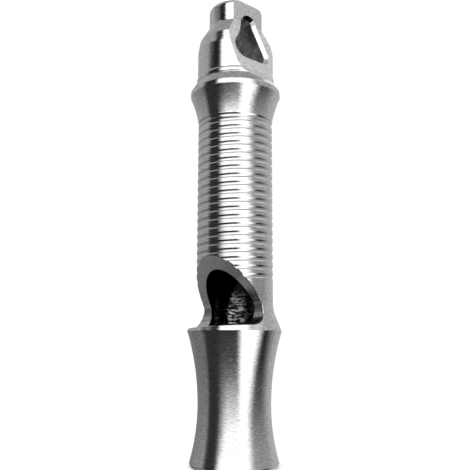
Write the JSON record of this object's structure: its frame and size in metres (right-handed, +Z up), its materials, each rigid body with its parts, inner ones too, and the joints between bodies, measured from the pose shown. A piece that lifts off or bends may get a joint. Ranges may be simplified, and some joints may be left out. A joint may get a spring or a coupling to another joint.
{
  "type": "dog whistle",
  "caption": "Slim turned metal dog whistle: flared mouthpiece, slanted sound window, spirally grooved grip, swollen collar, and a flattened head pierced by a triangular lanyard eye.",
  "frame": {"origin": "centre of the mouth end, in the plane of its flat rim", "axes": "+Z up the whistle's axis from the mouth end to the head, +X along the lanyard eye, so the window faces roughly -Y"},
  "size_m": [0.012, 0.012, 0.0599],
  "materials": {
    "body_metal": "turned, with fine lines round the axis, and bare",
    "plug_metal": "turned and bare"
  },
  "bodies": {
    "root": {"whistle_body": "body_metal", "fipple_plug": "plug_metal"}
  },
  "joints": []
}
